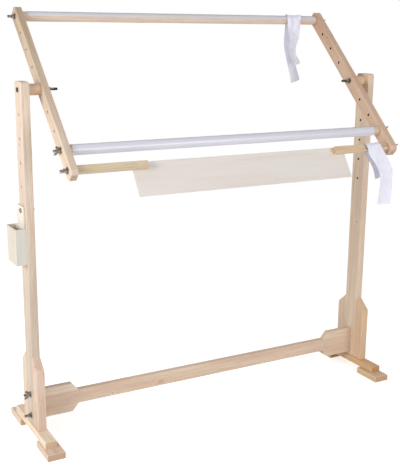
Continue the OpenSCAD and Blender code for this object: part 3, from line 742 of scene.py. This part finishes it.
def wing_nut_shape(turn):
    """A wing nut on the X axis, seated at the origin with its wings toward +X."""
    bm = bmesh.new()
    hub = NUT_HUB_D / 2
    mouth = HOLE_R + NUT_COUNTERSINK
    spin_profile(bm, [(0, mouth), (0, hub - 0.5 * MM), (0.4 * MM, hub), (WING_FOOT, hub),
                      (NUT_HUB_H - 0.5 * MM, hub - 1.2 * MM), (NUT_HUB_H, hub - 1.6 * MM),
                      (NUT_HUB_H, mouth), (NUT_HUB_H - NUT_COUNTERSINK, HOLE_R), (NUT_COUNTERSINK, HOLE_R)],
                 ROUND_STEPS["nut"])
    for end in (-1, 1):
        wing(bm, end)
    bmesh.ops.rotate(bm, cent=(0, 0, 0), matrix=Matrix.Rotation(math.radians(turn), 3, "X"), verts=bm.verts)
    return bm


def wing_nut(side, kind):
    """The nut's axis is the middle of its CAD solid; it faces inward at the pivot and outward elsewhere."""
    node = ("left_" if side == LEFT else "right_") + kind + "_nut"
    low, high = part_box(node)
    at = middle(node)
    bm = bmesh.new()
    facing = -side if kind == "pivot" else side
    seat_x = low.x if facing > 0 else high.x
    add_part(bm, wing_nut_shape(NUT_TURNS[kind]), facing, (facing * seat_x, at.y, at.z))
    return finish_piece(node + "_steel", bm, node, ZINC_STEEL, [node])


def turned_wood(node, body, material, profile):
    """A turned piece of wood between the ends of its CAD solid, its outline measured from the left end."""
    low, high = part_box(node)
    at = middle(node)
    bm = bmesh.new()
    part = bmesh.new()
    spin_profile(part, profile(high.x - low.x, (high.z - low.z) / 2), ROUND_STEPS["wood"])
    add_part(bm, part, RIGHT, (low.x, at.y, at.z))
    return finish_piece(node + "_wood", bm, body, material, [node])


def spacer_outline(length, radius):
    soft = 0.8 * MM
    return [(0, HOLE_R), (0, radius - soft), (0.25 * soft, radius - 0.25 * soft), (soft, radius),
            (length - soft, radius), (length - 0.25 * soft, radius - 0.25 * soft), (length, radius - soft),
            (length, HOLE_R)]


def roller_outline(length, radius):
    """A dowel with eased ends and a drilled hole in each for its stud."""
    soft = 0.9 * MM
    half = [(STUD_DEPTH, 0), (STUD_DEPTH, HOLE_R), (0, HOLE_R), (0, radius - soft),
            (0.3 * soft, radius - 0.3 * soft), (soft, radius)]
    return half + [(length - x, r) for x, r in reversed(half)]


def clip(node, body):
    """A snap-on clip: a thin open tube along X with rounded lips."""
    low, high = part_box(node)
    roller = middle(body)
    wall = (CLIP_OUT_R - CLIP_IN_R) / 2
    mid = (CLIP_OUT_R + CLIP_IN_R) / 2
    start = math.radians(CLIP_FACINGS[node]) - CLIP_SWEEP / 2

    def at(radius, angle):
        return (low.x, roller.y + radius * math.cos(angle), roller.z + radius * math.sin(angle))

    def lip(angle, way):
        """Three points round the wall's open end."""
        points = []
        for i in range(1, 4):
            turn = math.radians(90 - 45 * i)
            radius = mid + wall * math.sin(turn)
            points.append(at(radius, angle + way * wall * math.cos(turn) / mid))
        return points

    angles = [start + CLIP_SWEEP * i / CLIP_STEPS for i in range(CLIP_STEPS + 1)]
    outline = [at(CLIP_OUT_R, angle) for angle in angles] + lip(start + CLIP_SWEEP, 1)
    outline += [at(CLIP_IN_R, angle) for angle in reversed(angles)] + list(reversed(lip(start, -1)))
    bm = bmesh.new()
    thicken(bm, bm.faces.new([bm.verts.new(point) for point in outline]), X_AXIS * (high.x - low.x))
    bmesh.ops.recalc_face_normals(bm, faces=bm.faces)
    ends = [edge for edge in bm.edges if edge.calc_face_angle(0) > CLIP_CORNER]
    round_edges(bm, ends, CLIP_EDGE, 2, True)
    return finish_piece(node + "_plastic", bm, body, CLIP_PLASTICS[node], [node], CLIP_SMOOTH)


# A tail's shape at even steps from the bar to its tip, as in the stand's source: millimetres along the width,
# millimetres away from the bar, and degrees of turn
UPPER_FRONT_KEYS = [(0, 0, 0), (-1, 1, 4), (-3, 4, 22), (-4, 5, 42), (-1, 5, 46), (8, 6, 30)]
UPPER_BACK_KEYS = [(0, 0, 0), (-1, 1, 3), (-1, 3, 12), (4, 3, 22), (13, 3, 24), (23, 4, 18)]
LOWER_FRONT_KEYS = [(0, 0, 0), (18, 2, 4), (33, 4, 2), (35, 5, 4), (33, 6, 0), (31, 7, -3)]
LOWER_BACK_KEYS = [(0, 0, 0), (13, 1, 2), (25, 3, 6), (33, 4, 10), (38, 4, 12), (44, 5, 12)]
# Each ribbon hangs inward of the right arm, and runs over its bar at the radius, slanting and bowing sideways
UPPER_RIBBON = {"inward": 69 * MM, "slant": -12 * MM, "bow": 0.0, "radius": 12.65 * MM,
                "front": UPPER_FRONT_KEYS, "front_length": 112 * MM,
                "back": UPPER_BACK_KEYS, "back_length": 156 * MM}
LOWER_RIBBON = {"inward": 47.5 * MM, "slant": -4 * MM, "bow": 4 * MM, "radius": 11.3 * MM,
                "front": LOWER_FRONT_KEYS, "front_length": 135 * MM,
                "back": LOWER_BACK_KEYS, "back_length": 75 * MM}


def along_keys(keys, t):
    """A smooth curve through evenly spaced keys, at t from 0 to 1."""
    last = len(keys) - 1
    i = min(int(t * last), last - 1)
    f = t * last - i
    a, b, c, d = (Vector(keys[max(0, min(last, i + step))]) for step in (-1, 0, 1, 2))
    return b + 0.5 * f * ((c - a) + f * ((2 * a - 5 * b + 4 * c - d) + f * (3 * b - a - 3 * c + d)))


def ribbon_line(inward, slant, bow, radius, front, front_length, back, back_length):
    """Stations from the front tail's tip over the bar to the back tail's tip: (middle, turn)."""
    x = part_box("right_arm")[0].x - inward
    stations = []
    for i in range(TAIL_STEPS, 0, -1):
        key = along_keys(front, i / TAIL_STEPS)
        place = Vector((x + bow + slant / 2 + key[0] * MM, -(radius + key[1] * MM),
                        -front_length * i / TAIL_STEPS))
        stations.append((place, math.radians(key[2])))
    for i in range(LOOP_STEPS + 1):
        angle = math.pi * (1 - i / LOOP_STEPS)
        away = 1 - 2 * i / LOOP_STEPS
        place = Vector((x + bow * away * away - slant / 2 * math.cos(angle),
                        radius * math.cos(angle), radius * math.sin(angle)))
        stations.append((place, 0.0))
    for i in range(1, TAIL_STEPS + 1):
        key = along_keys(back, i / TAIL_STEPS)
        place = Vector((x + bow - slant / 2 + key[0] * MM, radius + key[1] * MM,
                        -back_length * i / TAIL_STEPS))
        stations.append((place, math.radians(key[2])))
    return stations


def pinch_at(station, u):
    """How far two soft folds stand out below the roller's front. u runs from -0.5 to 0.5 across."""
    from_middle = abs(station.z - FOLD_MIDDLE)
    if station.y > 0 or from_middle > FOLD_REACH:
        return 0.0
    return math.cos(math.pi / 2 * from_middle / FOLD_REACH) ** 2 * math.sin(2 * math.pi * u) ** 2


def ribbon(name, node, axis, line, cup, fold):
    """A strip of cloth along the line. Its hanging tails cup a little, more toward their tips."""
    bm = bmesh.new()
    grid = bmesh.ops.create_grid(bm, x_segments=RIBBON_COLUMNS, y_segments=len(line) - 1, size=0.5)
    verts = sorted(grid["verts"], key=lambda v: (round(v.co.y, 5), round(v.co.x, 5)))
    cut = bm.loops.layers.uv.new("cut")
    columns = RIBBON_COLUMNS + 1
    place_of = {}
    travelled = [0.0]
    for before, after in zip(line, line[1:]):
        travelled.append(travelled[-1] + (after[0] - before[0]).length)
    for row, (station, turn) in enumerate(line):
        run = (line[min(row + 1, len(line) - 1)][0] - line[max(row - 1, 0)][0]).normalized()
        level = Vector((math.cos(turn), math.sin(turn), 0))
        across = (level - level.dot(run) * run).normalized()
        face_way = across.cross(run)
        from_loop = max(0.0, min(1.0, -station.z / CUPPED_AT))
        bow = math.radians(cup) * from_loop
        for column in range(columns):
            u = column / RIBBON_COLUMNS - 0.5
            ripple = RIPPLE * math.sin(RIPPLE_SLANT * u + travelled[row] / RIPPLE_LENGTH) * from_loop
            if abs(bow) > NO_CUP:
                radius = RIBBON_W / bow
                side = radius * math.sin(bow * u)
                depth = radius * (1 - math.cos(bow * u))
            else:
                side = RIBBON_W * u
                depth = 0.0
            vert = verts[row * columns + column]
            place_of[vert] = (u * RIBBON_W, travelled[row])
            folds = fold * pinch_at(station, u)
            vert.co = axis + station + across * side + face_way * (depth + ripple + folds)
    for face in bm.faces:
        for loop in face.loops:
            loop[cut].uv = place_of[loop.vert]
    bmesh.ops.solidify(bm, geom=bm.faces, thickness=RIBBON_T)
    bmesh.ops.recalc_face_normals(bm, faces=bm.faces)
    piece = finish_piece(name, bm, node, RIBBON_CLOTH, [node], RIBBON_SMOOTH)
    return piece


# The camera and the light

CAMERA_PLACE = Vector((-0.96152, -1.69270, 0.89267))
CAMERA_YAW = math.radians(28.86)
CAMERA_PITCH = math.radians(13.74)
CAMERA_ROLL = math.radians(0.51)
# The focal length in the photograph's pixels, and how many of them its long side has
FOCAL_PIXELS = 841.62
PICTURE_LONG_SIDE = 467
SENSOR = 36.0
NEAREST = 0.05
FARTHEST = 200

WORLD_LEVEL = 0.47
FLOOR_GLOW = 0.56
FLOOR_HALF = 40
# Lamps: place, target, size and power
LAMPS = {
    "left_lamp": ((-1.9, -0.55, 1.0), (-0.4, -0.05, 0.6), 1.0, 24),
    "front_lamp": ((1.1, -2.9, 0.85), (0.1, 0, 0.5), 1.6, 29),
}


def add_camera():
    ahead = Vector((math.sin(CAMERA_YAW) * math.cos(CAMERA_PITCH),
                    math.cos(CAMERA_YAW) * math.cos(CAMERA_PITCH), -math.sin(CAMERA_PITCH)))
    right = Vector((math.cos(CAMERA_YAW), -math.sin(CAMERA_YAW), 0))
    up = right.cross(ahead)
    level_right = right * math.cos(CAMERA_ROLL) + up * math.sin(CAMERA_ROLL)
    level_up = up * math.cos(CAMERA_ROLL) - right * math.sin(CAMERA_ROLL)
    data = bpy.data.cameras.new("camera")
    data.sensor_fit = "AUTO"
    data.sensor_width = SENSOR
    data.lens = FOCAL_PIXELS * SENSOR / PICTURE_LONG_SIDE
    data.clip_start = NEAREST
    data.clip_end = FARTHEST
    camera = bpy.data.objects.new("camera", data)
    turn = Matrix((level_right, level_up, -ahead)).transposed()
    camera.matrix_world = Matrix.Translation(CAMERA_PLACE) @ turn.to_4x4()
    bpy.context.scene.collection.objects.link(camera)
    bpy.context.scene.camera = camera


def add_lamp(name, place, target, size, power):
    data = bpy.data.lights.new(name, "AREA")
    data.shape = "DISK"
    data.size = size
    data.energy = power
    lamp = bpy.data.objects.new(name, data)
    way = Vector(target) - Vector(place)
    lamp.matrix_world = Matrix.Translation(Vector(place)) @ way.to_track_quat("-Z", "Y").to_matrix().to_4x4()
    bpy.context.scene.collection.objects.link(lamp)


def seen_directly(tree):
    """1 for rays that show the backdrop as it looks, from the camera or by way of gloss and glass."""
    path = tree.nodes.new("ShaderNodeLightPath")
    seen = math_node(tree, "MAXIMUM", path.outputs["Is Camera Ray"], path.outputs["Is Glossy Ray"])
    return math_node(tree, "MAXIMUM", seen, path.outputs["Is Transmission Ray"])


def add_world():
    world = bpy.data.worlds.new("studio")
    world.use_nodes = True
    bpy.context.scene.world = world
    tree = world.node_tree
    background = tree.nodes["Background"]
    background.inputs["Color"].default_value = (1, 1, 1, 1)
    seen = seen_directly(tree)
    level = math_node(tree, "ADD", WORLD_LEVEL, math_node(tree, "MULTIPLY", seen, 1 - WORLD_LEVEL))
    tree.links.new(level, background.inputs["Strength"])


def add_floor():
    bm = bmesh.new()
    bmesh.ops.create_grid(bm, x_segments=1, y_segments=1, size=FLOOR_HALF)
    mesh = bpy.data.meshes.new("floor")
    bm.to_mesh(mesh)
    bm.free()
    floor = bpy.data.objects.new("floor", mesh)
    bpy.context.scene.collection.objects.link(floor)
    material, tree, shader = new_material("pale_floor", 0.9, 0.1)
    shader.inputs["Base Color"].default_value = srgb(246, 246, 245)
    glow = add_node(tree, "ShaderNodeEmission", {"Color": (1, 1, 1, 1)})
    tree.links.new(math_node(tree, "MULTIPLY", seen_directly(tree), FLOOR_GLOW), glow.inputs["Strength"])
    both = tree.nodes.new("ShaderNodeAddShader")
    tree.links.new(shader.outputs[0], both.inputs[0])
    tree.links.new(glow.outputs[0], both.inputs[1])
    tree.links.new(both.outputs[0], tree.nodes["Material Output"].inputs["Surface"])
    mesh.materials.append(material)


# The stand's pieces

# The seed of each group's first piece. A seed places a piece in its tree, so that no two look alike
SPACER_SEED = 31
ROLLER_SEED = 41
POCKET_SEED = 51
PANEL_SEED = 61


def wood_pieces():
    post_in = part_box("right_post")[0].x
    post_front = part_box("right_post")[0].y
    low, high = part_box("stretcher")
    plan = [
        # Each row: node, body, grain, and the planes that are glued, as (axis, place)
        ("left_post", "stand", "z", ()),
        ("right_post", "stand", "z", ()),
        ("left_front_cheek", "stand", "z", ((1, post_front),)),
        ("left_back_cheek", "stand", "z", ((1, -post_front),)),
        ("right_front_cheek", "stand", "z", ((1, post_front),)),
        ("right_back_cheek", "stand", "z", ((1, -post_front),)),
        ("left_runner", "stand", "y", ()),
        ("right_runner", "stand", "y", ()),
        ("left_front_pad", "stand", "y", ()),
        ("left_back_pad", "stand", "y", ()),
        ("right_front_pad", "stand", "y", ()),
        ("right_back_pad", "stand", "y", ()),
        ("stretcher", "stand", "x", ((0, post_in), (0, -post_in))),
        ("left_top_block", "stand", "x", ((0, -post_in), (2, high.z))),
        ("left_bottom_block", "stand", "x", ((0, -post_in), (2, low.z))),
        ("right_top_block", "stand", "x", ((0, post_in), (2, high.z))),
        ("right_bottom_block", "stand", "x", ((0, post_in), (2, low.z))),
        ("left_arm", "frame", "arm", ()),
        ("right_arm", "frame", "arm", ()),
        ("left_shelf_bar", "shelf", "x", ()),
        ("right_shelf_bar", "shelf", "x", ()),
    ]
    for seed, (node, body, grain, glued) in enumerate(plan):
        soften(node, body, wood(node, "pine", PINE, grain, seed), WOOD_EDGE, glued)
    for seed, node in enumerate(("left_spacer", "right_spacer"), SPACER_SEED):
        turned_wood(node, "stand", wood(node, "dowel", PINE, "x", seed), spacer_outline)
    for seed, node in enumerate(("top_roller", "lower_roller"), ROLLER_SEED):
        turned_wood(node, node, wood(node, "dowel", PINE, "x", seed), roller_outline)


def pocket():
    for seed, name in enumerate(("back", "front_wall", "rear_wall", "outer_wall", "floor"), POCKET_SEED):
        node = "pocket_" + name
        grain = "y" if name == "floor" else "z"
        soften(node, "stand", wood(node, "birch", BIRCH, grain, seed), BOARD_EDGE)
    low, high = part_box("pocket_bolt")
    at = middle("pocket_bolt")
    tip = -high.x
    bm = bmesh.new()
    add_part(bm, domed_bolt(tip, tip + POCKET_THREAD, -low.x - HEAD_H), LEFT, (0, at.y, at.z))
    finish_piece("pocket_bolt_steel", bm, "stand", ZINC_STEEL, ["pocket_bolt"])
    soften("pocket_nut", "stand", ZINC_STEEL, BOARD_EDGE)


def chart_panel():
    board = wood("chart_panel", "board", PANEL_BOARD, "x", PANEL_SEED)
    soften("chart_panel", "shelf", board, BOARD_EDGE)


def inner_end(node):
    """How far from the stand's middle plane the node's solids begin."""
    return min(abs(v.co.x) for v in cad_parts[node].data.vertices)


def on_both_sides(places, *along):
    """A seat for each place and side: (side, places along the width, y, z)."""
    return [(side, *along, at.y, at.z) for side in (LEFT, RIGHT) for at in places]


def fasteners():
    arm_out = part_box("right_arm")[1].x
    post_in, post_out = (corner.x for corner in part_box("right_post"))
    braces = [middle("right_" + kind + "_brace_nut") for kind in ("high", "low")]
    pivot = middle("pivot_bolts")
    arm_seats = []
    for body in ("top_roller", "lower_roller", "shelf"):
        node = body + "_studs"
        at = middle("right_" + body.split("_")[0] + "_nut")
        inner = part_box("right_shelf_bar" if body == "shelf" else body)[1].x
        stud_group(body, node, on_both_sides([at], inner - STUD_DEPTH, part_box(node)[1].x))
        arm_seats += on_both_sides([at], arm_out)
    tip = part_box("stretcher_studs")[1].x
    stud_group("stand", "stretcher_studs", on_both_sides(braces, post_in - STUD_DEPTH, tip))
    tip = inner_end("pivot_bolts")
    bm = bmesh.new()
    for side in (LEFT, RIGHT):
        add_part(bm, domed_bolt(tip, tip + PIVOT_THREAD, post_out), side, (0, pivot.y, pivot.z))
    finish_piece("pivot_bolts_steel", bm, "stand", DARK_STEEL, ["pivot_bolts"])
    washer_group("stand", "stretcher_washers", on_both_sides(braces, post_out))
    washer_group("stand", "pivot_washers", on_both_sides([pivot], inner_end("pivot_washers")))
    washer_group("frame", "arm_washers", arm_seats)
    for side in (LEFT, RIGHT):
        for kind in NUT_TURNS:
            wing_nut(side, kind)


def panel_screws():
    soften("panel_screws", "shelf", ZINC_STEEL, SCREW_EDGE)


def ribbons():
    top = middle("top_roller")
    ribbon("upper_ribbon_cloth", "upper_ribbon", Vector((0, top.y, top.z)), ribbon_line(**UPPER_RIBBON),
           cup=46, fold=2.4 * MM)
    bar = middle("right_shelf_nut")
    ribbon("lower_ribbon_cloth", "lower_ribbon", Vector((0, bar.y, bar.z)), ribbon_line(**LOWER_RIBBON),
           cup=20, fold=0.0)


bpy.context.scene.view_settings.view_transform = "Standard"
add_camera()
add_world()
for lamp_name, lamp_values in LAMPS.items():
    add_lamp(lamp_name, *lamp_values)
add_floor()
wood_pieces()
pocket()
chart_panel()
clip("top_clip", "top_roller")
clip("lower_clip", "lower_roller")
fasteners()
panel_screws()
ribbons()
